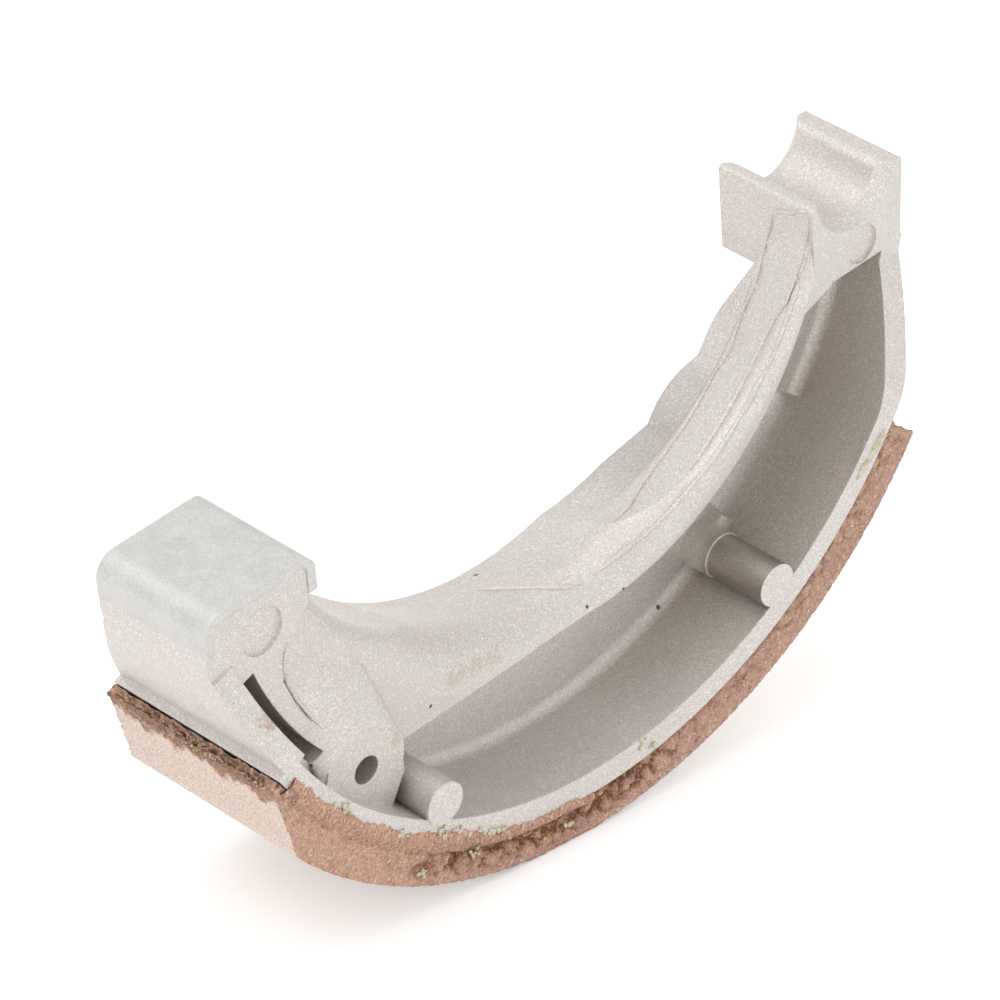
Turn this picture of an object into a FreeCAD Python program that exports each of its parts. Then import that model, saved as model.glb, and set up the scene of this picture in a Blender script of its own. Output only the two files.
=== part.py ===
import FreeCAD, Part
import math
import os
import Sketcher
from FreeCAD import Placement, Rotation, Vector

# Drum brake shoe: a die-cast aluminium shoe with rim, web, two flanges, cam block and
# half-round pivot saddle in one casting, a folded steel wear cap on the cam block and a
# moulded friction lining bonded round the rim.
# Frame: the drum axis is Y and passes through the origin. Z is up and the shoe hangs below
# the origin like a cradle, with the cam end at -X, the pivot end at +X and the side with
# the ejector posts at -Y. Millimetres and degrees. Angles are measured from straight down,
# negative toward the cam end.

os.makedirs("parts", exist_ok=True)
doc = FreeCAD.newDocument("brake_shoe")

# Driving dimensions
sizes = doc.addObject("Spreadsheet::Sheet", "sizes")
DRIVING = [
    ("drum_radius", 65.0, "outer face of the lining"),
    ("rest_turn", 9.0, "turn round the drum axis that puts the weight below it"),
    ("shoe_width", 28.0, "rim and lining along the drum axis"),
    ("lining_thick", 5.4, "moulded lining"),
    ("lining_cam_deg", 62.0, "lining end at the cam side"),
    ("lining_pivot_deg", 53.5, "lining end at the pivot side"),
    ("lining_lip", 1.5, "square part of the cam end of the lining"),
    ("chamfer_deg", 52.3, "chamfer of the cam end reaches the drum"),
    ("rim_thick", 3.2, "cast rim under the lining"),
    ("rim_step", 1.1, "rim sits in by this much past the lining, cam side"),
    ("rim_cam_deg", 76.0, "rim end inside the cam block"),
    ("rim_pivot_deg", 75.0, "rim end inside the pivot block"),
    ("flare_cam_z", 28.5, "rim leaves its full width, cam side"),
    ("flare_cam_end_z", 13.0, "rim reaches the width of the cam block"),
    ("flare_pivot_z", 31.5, "rim leaves its full width, pivot side"),
    ("flare_pivot_end_z", 17.6, "rim reaches the width of the pivot block"),
    ("flare_round", 9.0, "rounding of the flares"),
    ("web_thick", 2.4, "web between rim and flange"),
    ("web_top_radius", 38.5, "web inside the flange"),
    ("web_root", 1.6, "fillet between web and rim"),
    ("window_start_deg", 34.5, "window through the web"),
    ("window_end_deg", 51.7, "window through the web"),
    ("window_top_radius", 47.0, "window through the web"),
    ("pivot_width", 15.2, "pivot block and flange along the drum axis"),
    ("flange_near_radius", 35.6, "inner face of the flange on the post side"),
    ("flange_far_radius", 38.6, "inner face of the flange on the other side"),
    ("flange_thick", 4.6, "flange at its edges"),
    ("mouth_round", 5.0, "rounded edge of the flange on the post side"),
    ("rib_radius", 33.6, "inner face of the rib that climbs to the pivot, post side"),
    ("rib_far_radius", 37.4, "inner face of the rib, carried on to the other side"),
    ("rib_centre_x", 9.2, "centre of that face"),
    ("rib_round", 1.8, "rounded edge of the rib on the post side"),
    ("hook_radius", 33.9, "hollow from the flange up to the cap, post side"),
    ("hook_far_radius", 35.3, "hollow up to the cap, other side"),
    ("hook_centre_x", 9.0, "centre of the hollow"),
    ("hook_centre_z", 2.9, "centre of the hollow above the drum axis"),
    ("hook_round", 3.0, "rounded edge of the hollow on the post side"),
    ("under_radius", 40.2, "underside of the flange and rib"),
    ("under_centre_x", 4.5, "centre of the underside"),
    ("wall_end_x", 30.0, "tall flange wall ends beside the lug"),
    ("wall_end_z", 19.0, "top of the wall there"),
    ("tongue_start_x", 13.2, "far half of the flange turns into the tongue"),
    ("tongue_knee_x", 28.2, "foot of the hump"),
    ("tongue_knee_z", 34.5, "foot of the hump"),
    ("hump_x", 30.7, "hump of the tongue, before rounding"),
    ("hump_z", 30.4, "hump of the tongue, before rounding"),
    ("hump_round", 10.0, "rounding of the hump"),
    ("tongue_tip_x", 38.0, "tip of the tongue"),
    ("tongue_tip_z", 29.1, "tip of the tongue"),
    ("cam_width", 17.8, "cam block and cap along the drum axis"),
    ("cam_outer_x", 57.2, "lining side of the cap"),
    ("cam_inner_x", 40.3, "hook side of the cap"),
    ("cam_top_z", 5.3, "cam face below the drum axis"),
    ("cap_thick", 1.2, "steel sheet of the cap"),
    ("cap_bend", 3.0, "outer bend of the cap, lining side"),
    ("cap_hook", 2.0, "outer bend of the cap, hook side"),
    ("cap_leg", 5.0, "cap legs below the cam face"),
    ("cam_inset", 0.15, "casting inside the edge of the cap"),
    ("cam_side_z", 11.3, "block narrows below the cap"),
    ("wall_top_x", 44.0, "cam wall, top"),
    ("wall_top_z", 14.0, "cam wall, top"),
    ("wall_mid_x", 46.5, "cam wall, waist"),
    ("wall_mid_z", 19.9, "cam wall, waist"),
    ("wall_low_x", 44.6, "cam wall, below the waist"),
    ("wall_low_z", 25.1, "cam wall, below the waist"),
    ("wall_foot_x", 42.0, "cam wall, foot"),
    ("wall_foot_z", 29.6, "cam wall, foot"),
    ("wall_toe_x", 41.0, "cam wall, below the foot"),
    ("wall_toe_z", 30.8, "cam wall, below the foot"),
    ("core_half", 4.0, "core behind the lug on the far side"),
    ("core_top_z", 12.2, "core below the hook side of the cap"),
    ("core_low_z", 26.0, "full-width core on the far side"),
    ("slot_inner_radius", 53.2, "slot between cam wall and rim"),
    ("slot_outer_radius", 55.1, "slot between cam wall and rim"),
    ("slot_low_deg", 53.0, "slot"),
    ("slot_top_deg", 72.3, "slot"),
    ("slot_floor", 3.0, "slot stops short of the middle plane"),
    ("pivot_outer_x", 58.0, "pivot block at the horn"),
    ("pivot_draft", 0.8, "outer face of the pivot block leans in by this much"),
    ("pivot_inner_x", 42.4, "pivot block"),
    ("pivot_top_z", 4.3, "pivot block"),
    ("pivot_base_z", 16.0, "pivot block"),
    ("gusset_drop", 5.3, "slope under the block on the far side"),
    ("pin_x", 49.7, "anchor pin axis"),
    ("pin_z", 3.7, "anchor pin axis below the drum axis"),
    ("pin_radius", 5.0, "half-round saddle"),
    ("saddle_bevel", 1.5, "bevel at both mouths of the saddle"),
    ("horn_wall", 2.9, "horn between saddle and flange"),
    ("horn_round", 1.6, "horns rounded into the saddle"),
    ("horn_edge", 0.6, "outside edges of the horns"),
    ("post_cam_deg", 32.4, "ejector post toward the cam"),
    ("post_pivot_deg", 29.6, "ejector post toward the pivot"),
    ("post_radius", 2.8, "ejector posts"),
    ("post_gap", 2.3, "ejector post axes from the inner face of the rim"),
    ("post_proud", 0.5, "ejector posts past the rim edge"),
    ("foot_radius", 3.0, "as-cast foot of a post"),
    ("foot_length", 5.5, "as-cast foot of a post"),
    ("lug_x", 37.0, "spring hole"),
    ("lug_z", 37.8, "spring hole"),
    ("lug_radius", 6.0, "spring lug"),
    ("lug_face", 10.5, "spring lug face from the middle plane"),
    ("lug_rise_x", 3.0, "lug root from the spring hole, outward"),
    ("lug_rise_z", 13.8, "lug root from the spring hole, upward"),
    ("lug_root", 6.3, "lug root from the middle plane"),
    ("lug_foot_x", 34.6, "foot of the lug on the rim"),
    ("lug_foot_z", 47.0, "foot of the lug on the rim"),
    ("lug_back_x", 43.5, "back of the lug on the rim"),
    ("lug_back_z", 37.5, "back of the lug on the rim"),
    ("hole_radius", 1.85, "spring hole"),
    ("cam_mark_radius", 3.1, "ejector mark on the cam wall"),
    ("pivot_mark_radius", 2.6, "ejector mark on the pivot block"),
    ("mark_depth", 0.35, "ejector marks"),
    ("pivot_mark_x", 50.6, "ejector mark on the pivot block"),
    ("pivot_mark_z", 13.2, "ejector mark on the pivot block"),
    ("cam_mark_x", 48.8, "ejector mark on the cam wall"),
    ("cam_mark_z", 11.4, "ejector mark on the cam wall"),
]
for row, (alias, value, note) in enumerate(DRIVING, start=1):
    sizes.set("A%d" % row, alias)
    sizes.set("B%d" % row, str(value))
    sizes.set("C%d" % row, note)
    sizes.setAlias("B%d" % row, alias)
doc.recompute()

# Sizes that follow from the driving ones
RIM_OUT = "(sizes.drum_radius - sizes.lining_thick)"
RIM_IN = "(sizes.drum_radius - sizes.lining_thick - sizes.rim_thick)"
STEP_OUT = "(sizes.drum_radius - sizes.lining_thick - sizes.rim_step)"
STEP_IN = "(sizes.drum_radius - sizes.lining_thick - sizes.rim_thick - sizes.rim_step)"
HALF = "(sizes.shoe_width / 2)"
WEB = "(sizes.web_thick / 2)"
FLANGE = "(sizes.pivot_width / 2)"
CAM = "(sizes.cam_width / 2)"
CAM_CAST = "(sizes.cam_width / 2 - sizes.cam_inset)"
CAST_TOP = "(-sizes.cam_top_z - sizes.cap_thick)"
CAST_OUTER = "(-sizes.cam_outer_x + sizes.cap_thick)"
CAST_INNER = "(-sizes.cam_inner_x - sizes.cap_thick)"
LEG_END = "(-sizes.cam_top_z - sizes.cap_leg)"
TILT = "((sizes.flange_far_radius - sizes.flange_near_radius) / 2)"


def number(formula):
    """Value of a formula over the driving dimensions, for a sketch's first guess."""
    return float(sizes.evalExpression(formula))


def origin_plane(body, role):
    """One of the body's own origin planes."""
    return [item for item in body.Origin.OriginFeatures if item.Role == role][0]


def blank_sketch(body, name, role, offset):
    """Empty sketch on an origin plane, moved along the plane's normal."""
    sketch = body.newObject("Sketcher::SketchObject", name)
    sketch.AttachmentSupport = [(origin_plane(body, role), "")]
    sketch.MapMode = "FlatFace"
    sketch.setExpression("AttachmentOffset.Base.z", offset)
    return sketch


def place_point(sketch, edge, end, label, across, up):
    """Tie one point of an edge to the driving dimensions."""
    for kind, formula in (("DistanceX", across), ("DistanceY", up)):
        value = number(formula)
        index = sketch.addConstraint(Sketcher.Constraint(kind, -1, 1, edge, end, value))
        sketch.renameConstraint(index, label + kind[-1])
        sketch.setExpression("Constraints." + label + kind[-1], formula)


def outline(body, name, role, offset, corners):
    """Closed outline of straight edges through named corners."""
    sketch = blank_sketch(body, name, role, offset)
    points = [Vector(number(across), number(up), 0) for across, up in corners]
    count = len(points)
    for index in range(count):
        sketch.addGeometry(Part.LineSegment(points[index], points[(index + 1) % count]), False)
    for index in range(count):
        follower = (index + 1) % count
        sketch.addConstraint(Sketcher.Constraint("Coincident", index, 2, follower, 1))
    for index, (across, up) in enumerate(corners):
        place_point(sketch, index, 1, "corner%d" % index, across, up)
    return sketch


def disc(body, name, offset, across, up, radius):
    """Circle in a plane square to the drum axis."""
    sketch = blank_sketch(body, name, "XZ_Plane", offset)
    centre = Vector(number(across), number(up), 0)
    sketch.addGeometry(Part.Circle(centre, Vector(0, 0, 1), number(radius)), False)
    place_point(sketch, 0, 3, "centre", across, up)
    index = sketch.addConstraint(Sketcher.Constraint("Radius", 0, number(radius)))
    sketch.renameConstraint(index, "radius")
    sketch.setExpression("Constraints.radius", radius)
    return sketch


def pad_between(body, sketch, name, length):
    """Solid from a sketch set at its far side, grown toward -Y."""
    pad = body.newObject("PartDesign::Pad", name)
    pad.Profile = sketch
    pad.setExpression("Length", length)
    sketch.Visibility = False
    return pad


def slab(name, low, high, corners):
    """Prism of an outline square to the drum axis, from y = low to y = high."""
    body = doc.addObject("PartDesign::Body", name)
    sketch = outline(body, name + "_outline", "XZ_Plane", "-(%s)" % high, corners)
    pad_between(body, sketch, name + "_pad", "%s - (%s)" % (high, low))
    return body


def rod(name, low, high, across, up, radius):
    """Round bar along the drum axis, from y = low to y = high."""
    bar = doc.addObject("Part::Cylinder", name)
    bar.Placement = Placement(Vector(0, 0, 0), Rotation(Vector(1, 0, 0), -90))
    bar.setExpression("Radius", radius)
    bar.setExpression("Height", "%s - (%s)" % (high, low))
    bar.setExpression("Placement.Base.x", across)
    bar.setExpression("Placement.Base.y", low)
    bar.setExpression("Placement.Base.z", up)
    return bar


def turned(name, start_deg, end_deg, corners):
    """Section in (y, z) swept round the drum axis from one angle to another."""
    body = doc.addObject("PartDesign::Body", name)
    sketch = outline(body, name + "_section", "YZ_Plane", "0", corners)
    sweep = body.newObject("PartDesign::Revolution", name + "_sweep")
    sweep.Profile = sketch
    sweep.ReferenceAxis = (sketch, ["H_Axis"])
    sweep.setExpression("Angle", "%s - (%s)" % (end_deg, start_deg))
    sweep.Reversed = True
    sketch.Visibility = False
    body.Placement = Placement(Vector(0, 0, 0), Rotation(Vector(0, -1, 0), number(start_deg)))
    body.setExpression("Placement.Rotation.Angle", start_deg)
    return body


def ring_section(low, high, inner, outer):
    """Corners of a rectangular section between two radii."""
    return [(low, "-" + outer), (high, "-" + outer), (high, "-" + inner), (low, "-" + inner)]


def beam(name, low, high, corners):
    """Prism of an outline in (y, z), from x = low to x = high."""
    body = doc.addObject("PartDesign::Body", name)
    sketch = outline(body, name + "_outline", "YZ_Plane", low, corners)
    pad_between(body, sketch, name + "_pad", "%s - (%s)" % (high, low))
    return body


def flared(name, low, high, across, up, near_radius, far_radius):
    """Tapered bar along the drum axis, from y = low to y = high."""
    bar = doc.addObject("Part::Cone", name)
    bar.Placement = Placement(Vector(0, 0, 0), Rotation(Vector(1, 0, 0), -90))
    bar.setExpression("Radius1", near_radius)
    bar.setExpression("Radius2", far_radius)
    bar.setExpression("Height", "%s - (%s)" % (high, low))
    bar.setExpression("Placement.Base.x", across)
    bar.setExpression("Placement.Base.y", low)
    bar.setExpression("Placement.Base.z", up)
    return bar


def round_corner(body, name, across, up, radius, along="Y"):
    """Rounds the edge that runs along one axis through one corner of a prism."""
    doc.recompute()
    across_now, up_now = number(across), number(up)
    chosen = []
    for index, edge in enumerate(body.Tip.Shape.Edges, start=1):
        ends = [(point.X if along == "Y" else point.Y, point.Z) for point in edge.Vertexes]
        gaps = [math.hypot(first - across_now, second - up_now) for first, second in ends]
        if max(gaps) < 0.01:
            chosen.append("Edge%d" % index)
    fillet = body.newObject("PartDesign::Fillet", name)
    fillet.Base = (fillet.BaseFeature, chosen)
    fillet.setExpression("Radius", radius)


def round_circle(body, name, radius_now, half_now, radius):
    """Rounds the edges that run round the drum axis at one radius and one half-width."""
    doc.recompute()
    wanted_radius, wanted_half = number(radius_now), number(half_now)
    chosen = []
    for index, edge in enumerate(body.Tip.Shape.Edges, start=1):
        gaps = [abs(math.hypot(point.X, point.Z) - wanted_radius) for point in edge.Vertexes]
        sides = [abs(abs(point.Y) - wanted_half) for point in edge.Vertexes]
        if max(gaps + sides) < 0.01:
            chosen.append("Edge%d" % index)
    fillet = body.newObject("PartDesign::Fillet", name)
    fillet.Base = (fillet.BaseFeature, chosen)
    fillet.setExpression("Radius", radius)


def fused(name, shapes):
    """Union of several solids."""
    union = doc.addObject("Part::MultiFuse", name)
    union.Shapes = shapes
    return union


def cut(name, base, tool):
    """One solid less another."""
    result = doc.addObject("Part::Cut", name)
    result.Base = base
    result.Tool = tool
    return result


def common(name, shapes):
    """What several solids share."""
    result = doc.addObject("Part::MultiCommon", name)
    result.Shapes = shapes
    return result


def rested(node):
    """Turns a finished piece round the drum axis to where the shoe comes to rest."""
    node.Placement = Placement(Vector(0, 0, 0), Rotation(Vector(0, -1, 0), number("sizes.rest_turn")))
    node.setExpression("Placement.Rotation.Angle", "sizes.rest_turn")
    return node


def rim_and_web():
    """Rim with the web on its middle, narrowed toward the cam and pivot blocks."""
    section = turned("rim_web", "-sizes.lining_cam_deg", "sizes.rim_pivot_deg", [
        ("-" + HALF, "-" + RIM_OUT),
        (HALF, "-" + RIM_OUT),
        (HALF, "-" + RIM_IN),
        (WEB, "-" + RIM_IN),
        (WEB, "-sizes.web_top_radius"),
        ("-" + WEB, "-sizes.web_top_radius"),
        ("-" + WEB, "-" + RIM_IN),
        ("-" + HALF, "-" + RIM_IN),
    ])
    round_circle(section, "web_roots", RIM_IN, WEB, "sizes.web_root")
    cam_end = turned("rim_cam_end", "-sizes.rim_cam_deg", "1 - sizes.lining_cam_deg", ring_section(
        "(-sizes.shoe_width / 2)", HALF, STEP_IN, STEP_OUT))
    cam_side = beam("rim_cam_side", "-sizes.drum_radius", "1", [
        ("-" + HALF, "-sizes.drum_radius"),
        (HALF, "-sizes.drum_radius"),
        (HALF, "-sizes.flare_cam_z"),
        (CAM_CAST, "-sizes.flare_cam_end_z"),
        (CAM_CAST, "0"),
        ("-" + CAM_CAST, "0"),
        ("-" + CAM_CAST, "-sizes.flare_cam_end_z"),
        ("-" + HALF, "-sizes.flare_cam_z"),
    ])
    pivot_side = beam("rim_pivot_side", "0", "sizes.drum_radius", [
        ("-" + HALF, "-sizes.drum_radius"),
        (HALF, "-sizes.drum_radius"),
        (HALF, "-sizes.flare_pivot_z"),
        (FLANGE, "-sizes.flare_pivot_end_z"),
        (FLANGE, "0"),
        ("-" + FLANGE, "0"),
        ("-" + FLANGE, "-sizes.flare_pivot_end_z"),
        ("-" + HALF, "-sizes.flare_pivot_z"),
    ])
    for side, sign in (("near", "-"), ("far", "")):
        round_corner(cam_side, "cam_flare_" + side, sign + HALF, "-sizes.flare_cam_z",
                     "sizes.flare_round", "X")
        round_corner(pivot_side, "pivot_flare_" + side, sign + HALF, "-sizes.flare_pivot_z",
                     "sizes.flare_round", "X")
    rings = fused("rim_rings", [section, cam_end])
    return common("rim", [rings, fused("rim_plan", [cam_side, pivot_side])])


def flange_and_rib():
    """Flange over the web, its tall wall toward the lug and the rib up to the pivot block."""
    under = flared("flange_under", "-" + FLANGE, FLANGE, "sizes.under_centre_x", "0",
                   "sizes.under_radius", "sizes.under_radius + 2 * " + TILT)
    near_wall = slab("flange_wall", "-" + FLANGE, "0", [
        ("sizes.under_centre_x", "-sizes.under_radius"),
        ("sizes.under_centre_x", "-sizes.flange_near_radius"),
        ("-sizes.wall_end_x", "-sizes.wall_end_z"),
        ("-sizes.wall_end_x", "-sizes.under_radius"),
    ])
    far_wall = slab("flange_far_wall", "0", FLANGE, [
        ("sizes.under_centre_x", "-sizes.under_radius - 2 * " + TILT),
        ("sizes.under_centre_x", "-sizes.flange_near_radius"),
        ("-sizes.wall_end_x", "-sizes.wall_end_z"),
        ("-sizes.wall_end_x", "-sizes.under_radius - 2 * " + TILT),
    ])
    near_reach = slab("rib_reach", "-" + FLANGE, WEB, [
        ("-sizes.wall_end_x", "-sizes.drum_radius"),
        ("sizes.pivot_inner_x + 1", "-sizes.drum_radius"),
        ("sizes.pivot_inner_x + 1", "-sizes.pivot_top_z - sizes.horn_round"),
        ("sizes.pivot_inner_x - sizes.flange_thick", "-sizes.pivot_top_z - sizes.horn_round"),
        ("-sizes.wall_end_x", "-sizes.wall_end_z"),
    ])
    far_reach = slab("flange_reach", "-" + WEB, FLANGE, [
        ("-sizes.wall_end_x", "-sizes.drum_radius"),
        ("sizes.tongue_start_x", "-sizes.drum_radius"),
        ("sizes.tongue_start_x", "-sizes.wall_end_z"),
        ("-sizes.wall_end_x", "-sizes.wall_end_z"),
    ])
    stock = fused("flange_stock", [under, near_wall, far_wall])
    reach = fused("flange_plan", [near_reach, far_reach])
    corner = slab("rib_corner", "-" + FLANGE, WEB, [
        ("sizes.pivot_inner_x - 2", "-0.6 * sizes.pivot_base_z"),
        ("sizes.pivot_inner_x + sizes.horn_wall", "-0.6 * sizes.pivot_base_z"),
        ("sizes.pivot_inner_x + sizes.horn_wall", "-sizes.pivot_base_z - 0.3"),
        ("sizes.pivot_inner_x - 0.45 * sizes.gusset_drop",
         "-sizes.pivot_base_z - 0.4 * sizes.gusset_drop"),
    ])
    return [common("flange", [stock, reach]), corner]


def tongue():
    """Far half of the flange running out in a low hump under the rib."""
    body = slab("tongue", "-" + WEB, FLANGE, [
        ("sizes.tongue_start_x - sizes.flange_thick", "-sizes.flange_far_radius + 1"),
        ("sizes.tongue_knee_x", "-sizes.tongue_knee_z"),
        ("sizes.hump_x", "-sizes.hump_z"),
        ("sizes.tongue_tip_x", "-sizes.tongue_tip_z"),
        ("sizes.tongue_tip_x + 1", "-sizes.tongue_tip_z - 0.7 * sizes.flange_thick"),
        ("sizes.hump_x", "-sizes.hump_z - 1.8 * sizes.flange_thick"),
        ("sizes.tongue_start_x - sizes.flange_thick", "-sizes.flange_far_radius - sizes.flange_thick"),
    ])
    round_corner(body, "hump", "sizes.hump_x", "-sizes.hump_z", "sizes.hump_round")
    return body


def mouthed_bore(name, across, up, near_radius, far_radius, rounding):
    """Tapered space along the drum axis with a rounded mouth on the post side."""
    slope = "((%s - %s) / sizes.pivot_width)" % (far_radius, near_radius)
    pitch = "(%s + %s * (%s + sqrt(1 + %s^2)))" % (near_radius, rounding, slope, slope)
    depth = "(-sizes.pivot_width / 2 + %s)" % rounding
    bore = flared(name, "-" + FLANGE, FLANGE, across, up, near_radius, far_radius)
    meets = "(%s + %s * %s / sqrt(1 + %s^2))" % (depth, rounding, slope, slope)
    stock = rod(name + "_mouth_stock", "(-sizes.pivot_width / 2 - 1)", meets, across, up, pitch)
    bead = doc.addObject("Part::Torus", name + "_bead")
    bead.Placement = Placement(Vector(0, 0, 0), Rotation(Vector(1, 0, 0), -90))
    bead.setExpression("Radius1", pitch)
    bead.setExpression("Radius2", rounding)
    bead.setExpression("Placement.Base.x", across)
    bead.setExpression("Placement.Base.y", depth)
    bead.setExpression("Placement.Base.z", up)
    return fused(name + "_space", [bore, cut(name + "_mouth", stock, bead)])


def bores():
    """Space above the flange, above the rib and in the hollow that climbs to the cap."""
    flange = mouthed_bore("flange_bore", "0", "0", "sizes.flange_near_radius",
                          "sizes.flange_far_radius", "sizes.mouth_round")
    rib = mouthed_bore("rib_bore", "sizes.rib_centre_x", "0", "sizes.rib_radius",
                       "sizes.rib_far_radius", "sizes.rib_round")
    hook = mouthed_bore("hook_bore", "-sizes.hook_centre_x", "sizes.hook_centre_z",
                        "sizes.hook_radius", "sizes.hook_far_radius", "sizes.hook_round")
    return fused("bores", [flange, rib, hook])


def pivot_block():
    """Block with the half-round saddle that sits on the anchor pin."""
    block = slab("pivot_stock", "-" + FLANGE, FLANGE, [
        ("sizes.pivot_inner_x", "-sizes.pivot_top_z"),
        ("sizes.pivot_outer_x", "-sizes.pivot_top_z"),
        ("sizes.pivot_outer_x - sizes.pivot_draft", "-sizes.pivot_base_z - 1"),
        ("sizes.pivot_outer_x - sizes.pivot_draft - sizes.rim_thick", "-sizes.pivot_base_z"),
        ("sizes.pivot_inner_x", "-sizes.pivot_base_z"),
    ])
    circle = disc(block, "saddle_circle", FLANGE, "sizes.pin_x", "-sizes.pin_z", "sizes.pin_radius")
    saddle = block.newObject("PartDesign::Pocket", "saddle")
    saddle.Profile = circle
    saddle.setExpression("Length", "sizes.pivot_width")
    circle.Visibility = False
    reach = "sqrt(sizes.pin_radius^2 - (sizes.pivot_top_z - sizes.pin_z)^2)"
    top = "-sizes.pivot_top_z"
    round_corner(block, "inner_horn", "sizes.pin_x - " + reach, top, "sizes.horn_round")
    round_corner(block, "outer_horn", "sizes.pin_x + " + reach, top, "sizes.horn_round")
    round_corner(block, "inner_edge", "sizes.pivot_inner_x", top, "sizes.horn_edge")
    round_corner(block, "outer_edge", "sizes.pivot_outer_x", top, "sizes.horn_edge")
    gusset = slab("pivot_gusset", "-" + WEB, FLANGE, [
        ("sizes.pivot_inner_x", "-sizes.pivot_base_z + 1"),
        ("sizes.pivot_outer_x - sizes.rim_thick", "-sizes.pivot_base_z + 1"),
        ("sizes.pivot_outer_x - sizes.rim_thick", "-sizes.pivot_base_z - sizes.gusset_drop"),
        ("sizes.pivot_inner_x + sizes.gusset_drop", "-sizes.pivot_base_z - sizes.gusset_drop"),
        ("sizes.pivot_inner_x", "-sizes.pivot_base_z"),
    ])
    return fused("pivot_block", [block, gusset])


def cam_section(name, half):
    """Block under the cap, rounded to the inside of the folded sheet."""
    body = slab(name, "-" + half, half, [
        (CAST_OUTER, CAST_TOP),
        (CAST_INNER, CAST_TOP),
        (CAST_INNER, "-sizes.cam_side_z"),
        ("-sizes.wall_top_x", "-sizes.wall_top_z"),
        ("-sizes.wall_mid_x", "-sizes.wall_mid_z"),
        ("-sizes.wall_low_x", "-sizes.wall_low_z"),
        ("-sizes.wall_foot_x", "-sizes.wall_foot_z"),
        ("-sizes.wall_toe_x", "-sizes.wall_toe_z"),
        ("-sizes.wall_toe_x - 0.5", "-sizes.wall_toe_z - 2.2"),
        ("-sizes.lug_back_x", "-sizes.lug_back_z"),
        ("-sizes.cam_outer_x", "-sizes.lug_back_z"),
        ("-sizes.cam_outer_x", LEG_END),
        (CAST_OUTER, LEG_END),
    ])
    round_corner(body, name + "_outer", CAST_OUTER, CAST_TOP, "sizes.cap_bend - sizes.cap_thick")
    round_corner(body, name + "_inner", CAST_INNER, CAST_TOP, "sizes.cap_hook - sizes.cap_thick")
    return body


def core():
    """Metal between the flange and the cam wall, thinner on the far side below."""
    top_outer = ("-sizes.wall_top_x - 1", "-sizes.core_top_z")
    top_inner = ("-sizes.wall_end_x + 1", "-sizes.core_top_z")
    near = slab("core_near", "-" + FLANGE, "0", [
        top_outer,
        top_inner,
        ("-sizes.wall_end_x + 1", "-sizes.under_radius"),
        ("-sizes.lug_foot_x", "-sizes.under_radius - 1"),
        ("-sizes.lug_back_x", "-sizes.lug_back_z"),
        ("-sizes.wall_mid_x - 2", "-sizes.wall_mid_z"),
    ])
    middle = slab("core_middle", "-" + WEB, "sizes.core_half", [
        top_outer,
        top_inner,
        ("-sizes.wall_end_x + 1", "-sizes.under_radius"),
        ("-sizes.lug_x", "-sizes.lug_z - sizes.lug_radius"),
        ("-sizes.wall_foot_x - sizes.rim_thick", "-sizes.drum_radius / 2 - sizes.rim_thick"),
        ("-sizes.wall_mid_x - 2", "-sizes.wall_mid_z"),
    ])
    far = slab("core_far", "0", FLANGE, [
        top_outer,
        top_inner,
        ("-sizes.wall_end_x + 1", "-sizes.core_low_z"),
        ("-sizes.wall_mid_x - 1", "-sizes.core_low_z"),
    ])
    return [near, middle, far]


def cam_block():
    """Cam block with its wall beside the slot, as far out as the rim."""
    block = cam_section("cam_stock", CAM_CAST)
    outside = rod("rim_outside", "-" + HALF, HALF, "0", "0", STEP_OUT)
    return common("cam_block", [block, outside])


def lug():
    """Spring lug: a boss that leans back and up into the core."""
    body = doc.addObject("PartDesign::Body", "lug")
    face = disc(body, "lug_end", "sizes.lug_face", "-sizes.lug_x", "-sizes.lug_z", "sizes.lug_radius")
    root = disc(body, "lug_back", "sizes.lug_root", "-sizes.lug_x - sizes.lug_rise_x",
                "-sizes.lug_z + sizes.lug_rise_z", "sizes.lug_radius")
    loft = body.newObject("PartDesign::AdditiveLoft", "lug_body")
    loft.Profile = face
    loft.Sections = [root]
    face.Visibility = False
    root.Visibility = False
    foot = slab("lug_foot", "-sizes.lug_face", "0", [
        ("-sizes.lug_x + 0.95 * sizes.lug_radius", "-sizes.lug_z + 0.3 * sizes.lug_radius"),
        ("-sizes.lug_x + 0.95 * sizes.lug_radius", "-sizes.lug_z - 0.6 * sizes.lug_radius"),
        ("-sizes.lug_foot_x", "-sizes.lug_foot_z"),
        ("-sizes.lug_back_x", "-sizes.lug_back_z"),
        ("-sizes.lug_x - 0.95 * sizes.lug_radius", "-sizes.lug_z + 0.5 * sizes.lug_radius"),
    ])
    return [body, foot]


def posts():
    """Ejector posts that stand from the web past the rim edge."""
    pitch = "(%s - sizes.post_gap)" % RIM_IN
    low = "-sizes.shoe_width / 2 - sizes.post_proud"
    cam_across = "-%s * sin(sizes.post_cam_deg)" % pitch
    cam_up = "-%s * cos(sizes.post_cam_deg)" % pitch
    across = "%s * sin(sizes.post_pivot_deg)" % pitch
    up = "-%s * cos(sizes.post_pivot_deg)" % pitch
    cam_post = rod("cam_post", low, "0", cam_across, cam_up, "sizes.post_radius")
    pivot_post = rod("pivot_post", low, "0", across, up, "sizes.post_radius")
    foot = rod("post_foot", "-sizes.foot_length", "0", across, up, "sizes.foot_radius")
    return [cam_post, pivot_post, foot]


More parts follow.
